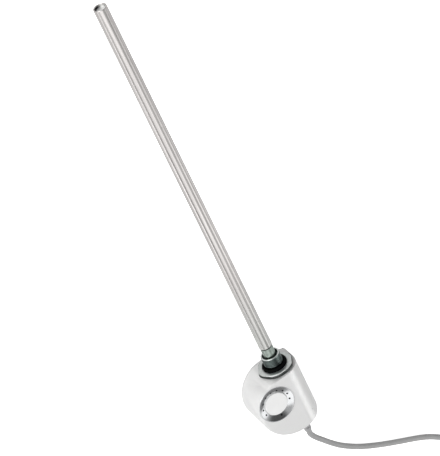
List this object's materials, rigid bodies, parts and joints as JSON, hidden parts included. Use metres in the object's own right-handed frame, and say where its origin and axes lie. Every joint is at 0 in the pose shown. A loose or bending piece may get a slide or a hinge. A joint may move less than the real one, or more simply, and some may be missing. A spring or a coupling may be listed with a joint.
{
  "type": "electric immersion heating rod",
  "caption": "Electric immersion heating rod with a half-inch pipe plug, a swivelling white control head with a round dial and push button, a mains cord and a plug.",
  "frame": {"origin": "centre of the hexagon's sealing face, on the axis of the pipe thread and rod", "axes": "+Y along the rod to its tip, +Z the way the dial faces, +X to the head's round side; the head lies on its flat back"},
  "size_m": [0.3013, 0.7462, 0.0475],
  "materials": {
    "sheath_steel": "fine drawn finish",
    "crimp_steel": "satin",
    "plug_steel": "dull zinc plated",
    "oring_rubber": "satin",
    "washer_plastic": "matte",
    "spring_steel": "satin",
    "magnesia": "matte powder",
    "former_ceramic": "matte",
    "resistance_wire": "oxidised",
    "pin_steel": "satin",
    "seal_silicone": "matte",
    "white_shell": "fine moulded semi-gloss",
    "gasket_rubber": "matte",
    "bush_plastic": "matte",
    "board_laminate": "satin",
    "relay_plastic": "satin",
    "capacitor_sleeve": "satin",
    "terminal_plastic": "satin",
    "fuse_ceramic": "matte",
    "dial_silver": "satin metallised",
    "guide_plastic": "smoked",
    "lamp_resin": "clear",
    "switch_plastic": "matte",
    "button_white": "satin",
    "clamp_plastic": "matte",
    "cord_sheath": "satin",
    "relief_rubber": "matte",
    "tie_plastic": "matte",
    "contact_metal": "nickel plated"
  },
  "bodies": {
    "head": {"swivel_washer": "washer_plastic", "front_housing": "white_shell", "rear_cover": "white_shell", "cover_gasket": "gasket_rubber", "cover_screws": "spring_steel", "neck_bush": "bush_plastic", "power_board": "board_laminate", "board_screws": "spring_steel", "switching_relay": "relay_plastic", "smoothing_capacitor": "capacitor_sleeve", "terminal_block": "terminal_plastic", "thermal_fuse": "fuse_ceramic", "dial_ring": "dial_silver", "light_guide": "guide_plastic", "dial_board": "board_laminate", "dial_board_screws": "spring_steel", "lamp_diodes": "lamp_resin", "tact_switch": "switch_plastic", "button_spring": "spring_steel", "cord_stub": "cord_sheath", "cord_clamp": "clamp_plastic", "clamp_screws": "spring_steel", "strain_relief": "relief_rubber", "cord_run": "cord_sheath", "cord_coil": "cord_sheath", "cord_tail": "cord_sheath", "coil_tie": "tie_plastic", "mains_plug_body": "relief_rubber", "plug_contacts": "contact_metal", "earth_contacts": "contact_metal"},
    "element": {"sheath_tube": "sheath_steel", "sheath_end_disc": "sheath_steel", "crimp_collar": "crimp_steel", "base_bung": "crimp_steel", "pipe_plug": "plug_steel", "sealing_oring": "oring_rubber", "retaining_clip": "spring_steel", "magnesia_filling": "magnesia", "coil_former": "former_ceramic", "resistance_winding": "resistance_wire", "connection_pins": "pin_steel", "sensor_tube": "pin_steel", "pin_seal": "seal_silicone"},
    "button": {"push_button": "button_white"}
  },
  "joints": [
    {"name": "head_swivel", "type": "hinge", "parent": "head", "child": "element", "pos_m": [0, 0, 0], "axis": [0, 1, 0], "range_deg": [-160, 160]},
    {"name": "button_press", "type": "slide", "parent": "head", "child": "button", "axis": [0, 0, -1], "range_m": [0, 0.001], "stiffness_N_per_m": 1200, "springref_m": -0.001, "deforming": ["button_spring"]}
  ]
}
